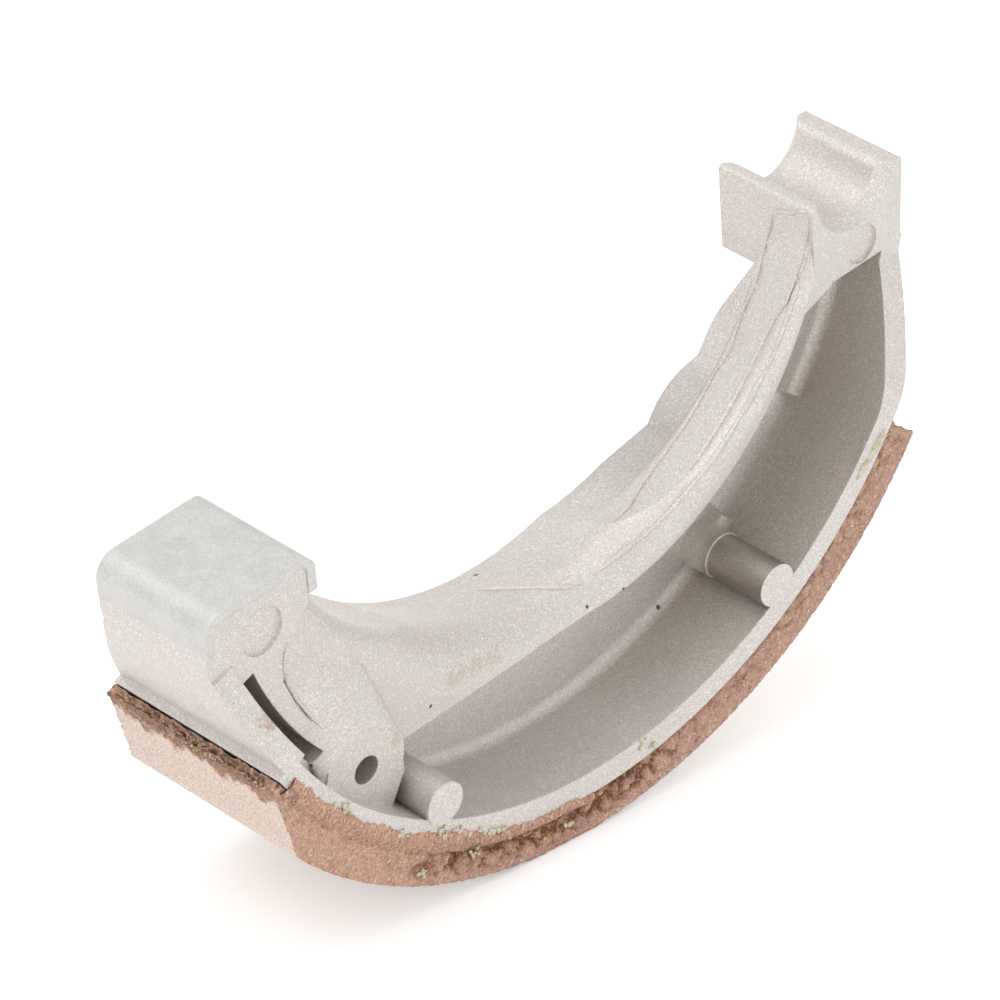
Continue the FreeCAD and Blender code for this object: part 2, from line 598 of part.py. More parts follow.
def openings():
    """Saddle mouths, window, slot, spring hole and ejector marks."""
    near_bevel = flared("saddle_bevel", "-" + FLANGE, "-sizes.pivot_width / 2 + sizes.saddle_bevel",
                        "sizes.pin_x", "-sizes.pin_z",
                        "sizes.pin_radius + sizes.saddle_bevel", "sizes.pin_radius")
    far_bevel = flared("saddle_far_bevel", "sizes.pivot_width / 2 - sizes.saddle_bevel", FLANGE,
                       "sizes.pin_x", "-sizes.pin_z",
                       "sizes.pin_radius", "sizes.pin_radius + sizes.saddle_bevel")
    window = turned("window", "sizes.window_start_deg", "sizes.window_end_deg", ring_section(
        "(-sizes.web_thick)", "sizes.web_thick", "sizes.window_top_radius", RIM_IN))
    slot = turned("slot", "-sizes.slot_top_deg", "-sizes.slot_low_deg", ring_section(
        "(-sizes.shoe_width / 2)", "(-sizes.slot_floor)",
        "sizes.slot_inner_radius", "sizes.slot_outer_radius"))
    far_slot = doc.addObject("Part::Mirroring", "far_slot")
    far_slot.Source = slot
    far_slot.Normal = (0, 1, 0)
    hole = rod("spring_hole", "-" + HALF, HALF, "-sizes.lug_x", "-sizes.lug_z", "sizes.hole_radius")
    pivot_mark = rod("pivot_mark", "-" + FLANGE, "-sizes.pivot_width / 2 + sizes.mark_depth",
                     "sizes.pivot_mark_x", "-sizes.pivot_mark_z", "sizes.pivot_mark_radius")
    cam_mark = rod("cam_mark", "-" + CAM_CAST, "-%s + sizes.mark_depth" % CAM_CAST,
                   "-sizes.cam_mark_x", "-sizes.cam_mark_z", "sizes.cam_mark_radius")
    return [near_bevel, far_bevel, window, slot, far_slot, hole, pivot_mark, cam_mark]


def shoe_casting():
    """The whole die casting as one solid."""
    stock = fused("shell_stock", [rim_and_web(), tongue()] + flange_and_rib() + core())
    shell = cut("shell", stock, bores())
    solid = fused("casting_stock", [shell, pivot_block(), cam_block()] + lug() + posts())
    return rested(cut("shoe_casting", solid, fused("casting_openings", openings())))


def cam_pad_cap():
    """Steel sheet folded over the cam block, open at both sides."""
    outside = slab("cap_stock", "-" + CAM, CAM, [
        ("-sizes.cam_outer_x", "-sizes.cam_top_z"),
        ("-sizes.cam_inner_x", "-sizes.cam_top_z"),
        ("-sizes.cam_inner_x", LEG_END),
        ("-sizes.cam_outer_x", LEG_END),
    ])
    round_corner(outside, "cap_outer_bend", "-sizes.cam_outer_x", "-sizes.cam_top_z", "sizes.cap_bend")
    round_corner(outside, "cap_hook_bend", "-sizes.cam_inner_x", "-sizes.cam_top_z", "sizes.cap_hook")
    return rested(cut("cam_pad_cap", outside, cam_section("cap_inside", CAM)))


def friction_lining():
    """Moulded lining bonded to the outside of the rim, its cam end chamfered."""
    ring = turned("lining_ring", "-sizes.lining_cam_deg", "sizes.lining_pivot_deg", ring_section(
        "(-sizes.shoe_width / 2)", "(sizes.shoe_width / 2)", RIM_OUT, "sizes.drum_radius"))
    lip = "(%s + sizes.lining_lip)" % RIM_OUT
    past = "(sizes.drum_radius + sizes.lining_thick)"
    chamfer = slab("lining_chamfer", "(-sizes.shoe_width)", "sizes.shoe_width", [
        ("-%s * sin(sizes.lining_cam_deg)" % lip, "-%s * cos(sizes.lining_cam_deg)" % lip),
        ("-sizes.drum_radius * sin(sizes.chamfer_deg)", "-sizes.drum_radius * cos(sizes.chamfer_deg)"),
        ("-%s * sin(sizes.chamfer_deg)" % past, "-%s * cos(sizes.chamfer_deg)" % past),
        ("-%s * sin(sizes.lining_cam_deg + 5)" % past, "-%s * cos(sizes.lining_cam_deg + 5)" % past),
        ("-%s * sin(sizes.lining_cam_deg + 5)" % lip, "-%s * cos(sizes.lining_cam_deg + 5)" % lip),
    ])
    return rested(cut("friction_lining", ring, chamfer))


nodes = [shoe_casting(), cam_pad_cap(), friction_lining()]
doc.recompute()

for item in doc.Objects:
    assert "Invalid" not in item.State and "Error" not in item.State, item.Name
for node in nodes:
    node.Label = node.Name
    assert not node.Shape.isNull() and node.Shape.isValid(), node.Name
    assert len(node.Shape.Solids) == 1, node.Name
    node.Shape.exportStep("parts/%s.step" % node.Name)
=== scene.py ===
import math
import random

import bpy
from bpy.props import FloatProperty, FloatVectorProperty, PointerProperty
from mathutils import Matrix, Vector


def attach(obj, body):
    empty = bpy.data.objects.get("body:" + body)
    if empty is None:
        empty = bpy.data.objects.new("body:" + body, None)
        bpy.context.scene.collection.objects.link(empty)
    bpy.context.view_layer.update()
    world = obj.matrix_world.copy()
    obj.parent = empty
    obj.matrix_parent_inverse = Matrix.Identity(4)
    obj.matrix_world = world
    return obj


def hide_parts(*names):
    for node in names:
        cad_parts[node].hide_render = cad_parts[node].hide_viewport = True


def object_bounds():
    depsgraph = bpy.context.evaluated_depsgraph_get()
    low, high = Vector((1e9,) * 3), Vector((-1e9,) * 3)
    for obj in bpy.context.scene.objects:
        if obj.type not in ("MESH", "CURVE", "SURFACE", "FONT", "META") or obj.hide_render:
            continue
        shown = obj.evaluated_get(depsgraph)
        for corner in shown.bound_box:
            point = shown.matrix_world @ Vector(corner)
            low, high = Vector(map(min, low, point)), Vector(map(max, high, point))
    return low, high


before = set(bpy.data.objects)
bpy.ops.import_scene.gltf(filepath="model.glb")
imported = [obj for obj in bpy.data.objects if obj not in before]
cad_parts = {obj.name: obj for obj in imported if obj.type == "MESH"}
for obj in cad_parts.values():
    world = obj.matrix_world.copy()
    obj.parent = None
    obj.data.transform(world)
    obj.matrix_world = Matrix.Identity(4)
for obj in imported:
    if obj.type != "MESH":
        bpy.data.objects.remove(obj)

CAD_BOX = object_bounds()

bl_info = {
    "name": "Drum brake shoe finish",
    "version": (1, 1, 0),
    "blender": (4, 5, 0),
    "location": "3D View > Sidebar > Brake Shoe",
    "description": "Finishes and surface detail of a die-cast drum brake shoe",
    "category": "Object",
}

MM = 0.001
REST_TURN = math.radians(9.0)  # the casting is turned this far round the drum axis at rest

# Sizes of the shoe in its own drawing, in millimetres and degrees round the drum axis
DRUM_RADIUS = 65.0
LINING_INNER = 59.6
HALF_WIDTH = 14.0
LINING_PIVOT_END = 53.5
CHAMFER_START = 61.9  # radius at the cam end where the ground chamfer meets the crumbly band above it


def to_linear(hex_colour):
    """Linear RGB of an sRGB hex colour such as "c8beb4"."""
    channels = [int(hex_colour[i:i + 2], 16) / 255 for i in (0, 2, 4)]
    return [c / 12.92 if c <= 0.04045 else ((c + 0.055) / 1.055) ** 2.4 for c in channels]


def colour_property(name, description, hex_colour):
    """Colour that a user may change, with its default as sRGB hex."""
    return FloatVectorProperty(name=name, description=description, size=3, subtype="COLOR",
                               default=to_linear(hex_colour))


def casting_point(x, y, z):
    """Point of the casting's own drawing, in millimetres, turned to the rest pose, in metres."""
    c, s = math.cos(REST_TURN), math.sin(REST_TURN)
    return Vector(((x * c - z * s) * MM, y * MM, (z * c + x * s) * MM))


# Lens, axes and place of the photograph's camera, found from the shoe's own edges
FRAME_SIDE = 1000  # pixels of the photograph, across and down
LENS = 239.565
SENSOR = 36.0
EYE = casting_point(-419.379, -454.659, 443.523)
EYE_RIGHT = casting_point(0.7048251, -0.7067784, -0.0607118) / MM
EYE_UP = casting_point(0.4627843, 0.3932612, 0.7944661) / MM
EYE_BACK = casting_point(-0.5376358, -0.5880561, 0.6042662) / MM

# Raised parting seams and edges on the casting, as pixels of the photograph
SEAMS = {
    "horn_seam": [(772, 214), (770, 226), (767, 240)],
    "rib_top": [(772, 213), (781, 211), (790, 213), (799, 211), (808, 213)],
    "rib_seam_upper": [(766, 242), (761, 262), (754, 287), (744, 308), (738, 325), (731, 345), (722, 362),
                       (712, 377), (701, 398), (684, 426), (665, 453), (644, 481), (630, 505), (613, 522)],
    "rib_seam_lower": [(808, 217), (807, 230), (803, 253), (797, 272), (787, 300), (775, 318), (766, 335),
                       (757, 354), (747, 375), (735, 398), (724, 417), (706, 446), (690, 470)],
    "rib_edge": [(812, 243), (806, 268), (795, 293), (787, 318), (773, 356), (757, 386), (747, 405),
                 (731, 432), (709, 465), (680, 500), (650, 531), (618, 555), (594, 575)],
    "flange_step": [(478, 590), (500, 589), (530, 588), (563, 587), (581, 585)],
    "lug_edge": [(288, 642), (284, 660), (285, 680), (296, 699), (309, 714), (321, 727)],
}
SEAM_RADIUS = 0.3 * MM
THREAD_UNEVENNESS = 0.35  # share by which a seam or strand swells and thins
LARGEST_STEP = 5 * MM  # a ray that misses the surface a seam lies on lands further off than this

# Stains and nicks on the casting, as pixels of the photograph, with their reach in millimetres
RUST_SPOTS = [(266, 719), (272, 725)]
RUST_REACH = 1.1
GREASE_SMEARS = [([(397, 727), (397, 735), (396, 742)], 0.9),
                 ([(452, 678), (459, 675), (466, 671), (474, 667), (482, 664), (490, 660), (498, 656)], 1.2)]
DARK_NICKS = [(587, 607), (624, 589), (658, 607), (476, 575), (431, 706), (311, 766)]
NICK_REACH = 0.28

POST_PITCH = 54.1 * MM  # distance of the ejector posts' axes from the drum axis
POST_REACH = 3.1 * MM  # radius about a post's axis that holds the post and its wider foot
POSTS = ((-32.4, 0.15), (29.6, 1.0))  # angle round the drum axis in degrees, and how bare the post is

# Crust of lining dust on the rim, between two angles round the drum axis
CRUST_FIRST_ANGLE = -60.5
CRUST_LAST_ANGLE = -5.0
CRUST_COLUMNS = 420
CRUST_ROWS = 9
CRUST_BITE = 0.17  # most that the crust's edge wanders from one column to the next, in millimetres
CRUST_MEMORY = 0.85  # share of its wandering that the edge keeps from column to column

# Set adhesive that the photograph shows: a strand, and fields of crumbs by columns, rows and number
PIVOT_STRAND = [(886, 426), (881, 438), (875, 449), (868, 461), (861, 473), (856, 480)]
STRAND_RADIUS = 0.62 * MM
STRAND_FLATNESS = 0.42  # how far the strand stands out from the near face, next to its radius
FIRST_CRUMB = (450, 835)  # where the first crumb lies, to which the others are added
CRUMB_FIELDS = [((333, 350), (804, 814), 10), ((396, 410), (829, 837), 8), ((438, 470), (826, 839), 30),
                ((480, 510), (827, 837), 18), ((462, 478), (846, 856), 6), ((417, 430), (870, 877), 5),
                ((562, 574), (822, 830), 5), ((638, 656), (737, 750), 12), ((300, 312), (786, 796), 4)]
END_CRUMBS = [((184, 196), (738, 746), 9), ((203, 216), (752, 762), 9), ((250, 266), (782, 790), 8)]
CRUMB_SIZES = (0.14 * MM, 0.32 * MM)
CRUMB_PROUD = -0.12 * MM  # step along y that brings a crumb's centre just out of the near face
END_CRUMB_SHARE = 0.6  # size of the crumbs on the cam end, next to the others

# Lamps: name, place, the point aimed at and the side of the square, in metres
KEY_LAMP = ("key_lamp", (-0.45, 0.15, 1.05), (0, 0, -0.03), 0.9)
FILL_LAMP = ("fill_lamp", (-0.30, -0.85, 0.30), (0, 0, -0.04), 0.8)
FLOOR_GLOW = 0.3  # added to the lit floor where the camera or a reflection sees it, up to pure white


class CastingFinish(bpy.types.PropertyGroup):
    """Colours and grain of the die-cast aluminium."""
    skin: colour_property("Cast skin", "Tumbled skin without painted shade", "d8d3ce")
    # shade is painted shade for the corners and pockets; a quarter of it colours the dark nicks
    shade: colour_property("Painted pocket shade", "Skin in corners and pockets", "b8ada3")
    # Painted shade inside the near channel, darker and warmer than the skin
    channel_shade: colour_property("Painted channel shade", "Painted shade inside the channels", "aba197")
    # Painted shade on the far half of the flange beside the rib
    dull: colour_property("Painted shade on the far half", "Far half of the flange beside the rib", "c4bfba")
    bare: colour_property("Bare posts", "Smoother sides of the ejector posts", "aaa29a")
    rust: colour_property("Rust bloom", "Red-brown stain by the spring slot", "a8765a")
    grease: colour_property("Dried grease", "Olive smears on the flange", "a39a5e")
    grain: FloatProperty(name="Grain", description="Size of the tumbled grain", default=0.19 * MM,
                         unit="LENGTH")
    edge: FloatProperty(name="Edge round", description="Rounding of the cast edges", default=0.3 * MM,
                        unit="LENGTH")


class CapFinish(bpy.types.PropertyGroup):
    """Colours of the folded steel cap."""
    sheet: colour_property("Steel sheet", "Plain rolled steel", "d3d2cf")
    dull: colour_property("Handled steel", "Dull cloud on the sheet", "bcbbb7")


class LiningFinish(bpy.types.PropertyGroup):
    """Colours of the moulded friction material."""
    side: colour_property("Broken side", "Side faces", "be9886")
    sandy: colour_property("Sandy side", "Side face by the cam end", "c69d87")
    rubbed: colour_property("Ground face", "Chamfer and rubbing face", "eedccf")
    # crevice colours the cracks found by ambient occlusion, where it is partly painted shade, and it also
    # tints some chips
    crevice: colour_property("Crevice", "Cracks and pits", "744230")
    crumbly: colour_property("Crumbly end", "Broken cam end", "b08c76")
    # Nearly black painted shade in the pits of the crumbly end
    gap: colour_property("Dark gap", "Deep pits of the crumbly end", "33251c")
    ochre: colour_property("Ochre rubble", "Resin-stained grit in the cracks", "b98a55")
    chip: colour_property("Mineral chip", "Pale chips in the compound", "e0c4a4")
    voxel: FloatProperty(name="Mesh step", description="Spacing of the broken surface's mesh",
                         default=0.42 * MM, unit="LENGTH")


class AdhesiveFinish(bpy.types.PropertyGroup):
    """Colours of the squeezed-out bonding adhesive."""
    resin: colour_property("Resin", "Set adhesive", "d6cebb")
    dusty: colour_property("Dusty resin", "Adhesive with lining dust", "b0a684")


class StudioSizes(bpy.types.PropertyGroup):
    """Floor and lamps."""
    floor_reach: FloatProperty(name="Floor reach", description="Half the floor's width", default=3.0,
                               unit="LENGTH")
    key_power: FloatProperty(name="Key lamp", description="Power of the key lamp in watts", default=4.0)
    fill_power: FloatProperty(name="Fill lamp", description="Power of the fill lamp in watts", default=0.8)
    room: FloatProperty(name="Room light", description="Strength of the white room", default=1.0)


def add_node(tree, kind, inputs=None, **settings):
    """Adds a node with its settings. Each input, by name or number, is linked to a socket or set."""
    node = tree.nodes.new(kind)
    for key, value in settings.items():
        setattr(node, key, value)
    for key, given in (inputs or {}).items():
        socket = node.inputs[key]
        if isinstance(given, bpy.types.NodeSocket):
            tree.links.new(given, socket)
        elif socket.type == "RGBA":
            socket.default_value = (*given, 1.0)
        else:
            socket.default_value = given
    return node.outputs


NOISE_SPAN = {"From Min": 0.3, "From Max": 0.7}  # nearly all of a noise texture's values lie between these


def new_material(name):
    """Empty node material and its node tree."""
    material = bpy.data.materials.new(name)
    material.use_nodes = True
    material.node_tree.nodes.clear()
    return material, material.node_tree


def shoe_coordinates(tree):
    """Sockets for the place in the shoe's own drawing and for its parts. "rest" is the place at rest, "flat"
    the place seen along the drum axis, and "outward" the direction away from that axis."""
    rest = add_node(tree, "ShaderNodeTexCoord")["Object"]
    at = add_node(tree, "ShaderNodeVectorRotate", {"Vector": rest, "Angle": REST_TURN},
                  rotation_type="Y_AXIS")[0]
    x, y, z = add_node(tree, "ShaderNodeSeparateXYZ", {0: at})
    flat = add_node(tree, "ShaderNodeCombineXYZ", {"X": x, "Z": z})[0]
    radius = add_node(tree, "ShaderNodeVectorMath", {0: flat}, operation="LENGTH")["Value"]
    outward = add_node(tree, "ShaderNodeVectorMath", {0: flat}, operation="NORMALIZE")[0]
    return {"rest": rest, "at": at, "x": x, "y": y, "z": z, "flat": flat, "radius": radius,
            "outward": outward}


def shoe_normal(tree):
    """Sockets for the surface's normal in the shoe's own drawing and for how squarely it faces sideways."""
    geometry = add_node(tree, "ShaderNodeNewGeometry")
    normal = add_node(tree, "ShaderNodeVectorRotate", {"Vector": geometry["Normal"], "Angle": REST_TURN},
                      rotation_type="Y_AXIS")[0]
    across = add_node(tree, "ShaderNodeSeparateXYZ", {0: normal})["Y"]
    return normal, add_node(tree, "ShaderNodeMath", {0: across}, operation="ABSOLUTE")[0]


def zone(tree, *limits):
    """Share of the surface inside some soft limits, each a socket and its values outside and inside."""
    share = None
    for value, outside, inside in limits:
        within = add_node(tree, "ShaderNodeMapRange",
                          {"Value": value, "From Min": outside, "From Max": inside})[0]
        if share is None:
            share = within
        else:
            share = add_node(tree, "ShaderNodeMath", {0: share, 1: within}, operation="MULTIPLY")[0]
    return share


def layered(tree, base, *layers):
    """Colour of a base with layers laid over it in turn, each a colour and the share it covers."""
    for colour, share in layers:
        base = add_node(tree, "ShaderNodeMix", {0: share, 6: base, 7: colour}, data_type="RGBA")[2]
    return base


def smear_share(tree, here, pixels, reach, ragged, strength):
    """Share of one ragged smear, reach millimetres wide, about the casting's points at some pixels."""
    edge = add_node(tree, "ShaderNodeMath", {0: ragged, 1: reach}, operation="MULTIPLY")[0]
    smear = None
    for pixel in pixels:
        away = add_node(tree, "ShaderNodeVectorMath", {0: here["rest"], 1: on_casting(pixel)},
                        operation="DISTANCE")["Value"]
        uneven = add_node(tree, "ShaderNodeMath", {0: away, 1: edge}, operation="ADD")[0]
        spot = add_node(tree, "ShaderNodeMapRange",
                        {"Value": uneven, "From Min": reach * MM, "From Max": 0.45 * reach * MM,
                         "To Max": strength})[0]
        if smear is None:
            smear = spot
        else:
            smear = add_node(tree, "ShaderNodeMath", {0: smear, 1: spot}, operation="MAXIMUM")[0]
    return smear


def post_share(tree, here, sideways):
    """Share of the round sides of the two ejector posts, each as bare as the photograph shows it."""
    posts = None
    for degrees, bareness in POSTS:
        turn = math.radians(degrees)
        axis = (POST_PITCH * math.sin(turn), 0.0, -POST_PITCH * math.cos(turn))
        away = add_node(tree, "ShaderNodeVectorMath", {0: here["flat"], 1: axis},
                        operation="DISTANCE")["Value"]
        near = add_node(tree, "ShaderNodeMapRange", {"Value": away, "From Min": POST_REACH + 0.2 * MM,
                                                     "From Max": POST_REACH, "To Max": bareness})[0]
        if posts is None:
            posts = near
        else:
            posts = add_node(tree, "ShaderNodeMath", {0: posts, 1: near}, operation="MAXIMUM")[0]
    round_side = zone(tree, (sideways, 0.6, 0.3), (here["y"], -4 * MM, -6 * MM))
    return add_node(tree, "ShaderNodeMath", {0: posts, 1: round_side}, operation="MULTIPLY")[0]


def die_cast_aluminium(finish):
    """Die-cast aluminium, tumbled with fine shot: a pale matt metal with a bright sparkling grain, and
    painted shade in its corners and pockets, on the far half of the flange beside the rib and, darker and
    warmer, inside the channels."""
    material, tree = new_material("die_cast_aluminium")
    here = shoe_coordinates(tree)
    at, x, y, z, radius = (here[key] for key in ("at", "x", "y", "z", "radius"))
    normal, sideways = shoe_normal(tree)
    grain = add_node(tree, "ShaderNodeTexNoise",
                     {"Vector": at, "Scale": 1 / finish.grain, "Detail": 2.0, "Roughness": 0.75})["Fac"]
    coarse = add_node(tree, "ShaderNodeTexNoise",
                      {"Vector": at, "Scale": 1 / (1.1 * MM), "Detail": 3.0, "Roughness": 0.7})["Fac"]
    patch = add_node(tree, "ShaderNodeTexNoise",
                     {"Vector": at, "Scale": 1 / (9 * MM), "Detail": 4.0, "Roughness": 0.65})["Fac"]
    ragged = add_node(tree, "ShaderNodeMapRange",
                      {"Value": coarse, **NOISE_SPAN, "To Min": -0.7 * MM, "To Max": 0.7 * MM})[0]

    # Painted shade from ambient occlusion darkens the corners and pockets, with random cloudy tone mixed in,
    # but not near the height of the drum axis
    pocket = add_node(tree, "ShaderNodeAmbientOcclusion", {"Distance": 6 * MM}, samples=6)["AO"]
    cloudy = add_node(tree, "ShaderNodeMapRange",
                      {"Value": patch, **NOISE_SPAN, "To Min": -0.12, "To Max": 0.12})[0]
    unshaded = add_node(tree, "ShaderNodeMath", {0: zone(tree, (pocket, 0.0, 0.3)), 1: cloudy},
                     operation="ADD", use_clamp=True)[0]
    unshaded = add_node(tree, "ShaderNodeMath", {0: unshaded, 1: zone(tree, (z, -18 * MM, -13 * MM))},
                     operation="MAXIMUM")[0]

    # The rim's inner face in the near channel gets painted shade, darker towards the pivot end and lower
    # down
    facing = add_node(tree, "ShaderNodeVectorMath", {0: normal, 1: here["outward"]},
                      operation="DOT_PRODUCT")["Value"]
    channel = zone(tree, (facing, -0.35, -0.8), (radius, 49 * MM, 53.5 * MM), (y, 1 * MM, -1 * MM),
                   (z, -13 * MM, -16 * MM), (x, -36 * MM, -30 * MM), (x, 2 * MM, 30 * MM))
    low = add_node(tree, "ShaderNodeMapRange",
                   {"Value": z, "From Min": -14 * MM, "From Max": -34 * MM, "To Min": 0.178,
                    "To Max": 0.7125})[0]
    channel_shade = add_node(tree, "ShaderNodeMath", {0: channel, 1: low}, operation="MULTIPLY")[0]

    # Painted shade on the far half of the flange beside the rib, whose soft edge looks like a step
    far_half_shade = zone(tree, (y, 0.3 * MM, 1.1 * MM), (x, 12 * MM, 22 * MM), (z, -16 * MM, -18 * MM),
                    (radius, 47 * MM, 45 * MM))
    posts = post_share(tree, here, sideways)
    rust = smear_share(tree, here, RUST_SPOTS, RUST_REACH, ragged, 0.45)
    colour = layered(tree, finish.shade, (finish.skin, unshaded), (finish.channel_shade, channel_shade),
                     (finish.dull, far_half_shade), (finish.bare, posts), (finish.rust, rust))
    for pixels, reach in GREASE_SMEARS:
        smear = smear_share(tree, here, pixels, reach, ragged, 0.22)
        colour = layered(tree, colour, (finish.grease, smear))
    nicks = smear_share(tree, here, DARK_NICKS, NICK_REACH, ragged, 1.0)
    colour = layered(tree, colour, ([c * 0.25 for c in finish.shade], nicks))

    speck = add_node(tree, "ShaderNodeTexVoronoi", {"Vector": at, "Scale": 1 / (0.24 * MM)})["Color"]
    chosen = add_node(tree, "ShaderNodeSeparateColor", {0: speck})[0]
    glint = add_node(tree, "ShaderNodeMath", {0: chosen, 1: 0.9}, operation="GREATER_THAN")[0]
    value = add_node(tree, "ShaderNodeMapRange",
                     {"Value": grain, **NOISE_SPAN, "To Min": 0.8, "To Max": 1.15})[0]
    value = add_node(tree, "ShaderNodeMath", {0: glint, 1: 0.14, 2: value}, operation="MULTIPLY_ADD")[0]
    shaded = add_node(tree, "ShaderNodeVectorMath", {0: colour, 1: value}, operation="MULTIPLY")[0]

    soft_edge = add_node(tree, "ShaderNodeBevel", {"Radius": finish.edge}, samples=6)[0]
    low_waves = add_node(tree, "ShaderNodeBump", {"Strength": 0.5, "Distance": 0.10 * MM, "Height": coarse,
                                                  "Normal": soft_edge})[0]
    bump = add_node(tree, "ShaderNodeBump", {"Strength": 0.75, "Distance": 0.11 * MM, "Height": grain,
                                             "Normal": low_waves})[0]
    rough = add_node(tree, "ShaderNodeMapRange",
                     {"Value": grain, **NOISE_SPAN, "To Min": 0.66, "To Max": 0.5})[0]
    rough = add_node(tree, "ShaderNodeMath", {0: posts, 1: -0.18, 2: rough}, operation="MULTIPLY_ADD")[0]
    surface = add_node(tree, "ShaderNodeBsdfPrincipled",
                       {"Base Color": shaded, "Roughness": rough, "Normal": bump, "Metallic": 1.0})[0]
    add_node(tree, "ShaderNodeOutputMaterial", {"Surface": surface})
    return material


def rolled_steel(finish):
    """Plain rolled steel sheet, tumbled with the casting: cooler and a little smoother, clouded where it
    was handled, with a fine grain."""
    material, tree = new_material("rolled_steel")
    at = shoe_coordinates(tree)["at"]
    cloud = add_node(tree, "ShaderNodeTexNoise",
                     {"Vector": at, "Scale": 1 / (3.2 * MM), "Detail": 5.0, "Roughness": 0.7})["Fac"]
    grain = add_node(tree, "ShaderNodeTexNoise",
                     {"Vector": at, "Scale": 1 / (0.2 * MM), "Detail": 2.0, "Roughness": 0.7})["Fac"]
    handled = add_node(tree, "ShaderNodeMapRange",
                       {"Value": cloud, "From Min": 0.42, "From Max": 0.68, "To Max": 0.35})[0]
    colour = layered(tree, finish.sheet, (finish.dull, handled))
    value = add_node(tree, "ShaderNodeMapRange",
                     {"Value": grain, **NOISE_SPAN, "To Min": 0.88, "To Max": 1.12})[0]
    shaded = add_node(tree, "ShaderNodeVectorMath", {0: colour, 1: value}, operation="MULTIPLY")[0]
    soft_edge = add_node(tree, "ShaderNodeBevel", {"Radius": 0.25 * MM}, samples=6)[0]
    bump = add_node(tree, "ShaderNodeBump", {"Strength": 0.5, "Distance": 0.06 * MM, "Height": grain,
                                             "Normal": soft_edge})[0]
    surface = add_node(tree, "ShaderNodeBsdfPrincipled",
                       {"Base Color": shaded, "Normal": bump, "Metallic": 1.0, "Roughness": 0.6})[0]
    add_node(tree, "ShaderNodeOutputMaterial", {"Surface": surface})
    return material


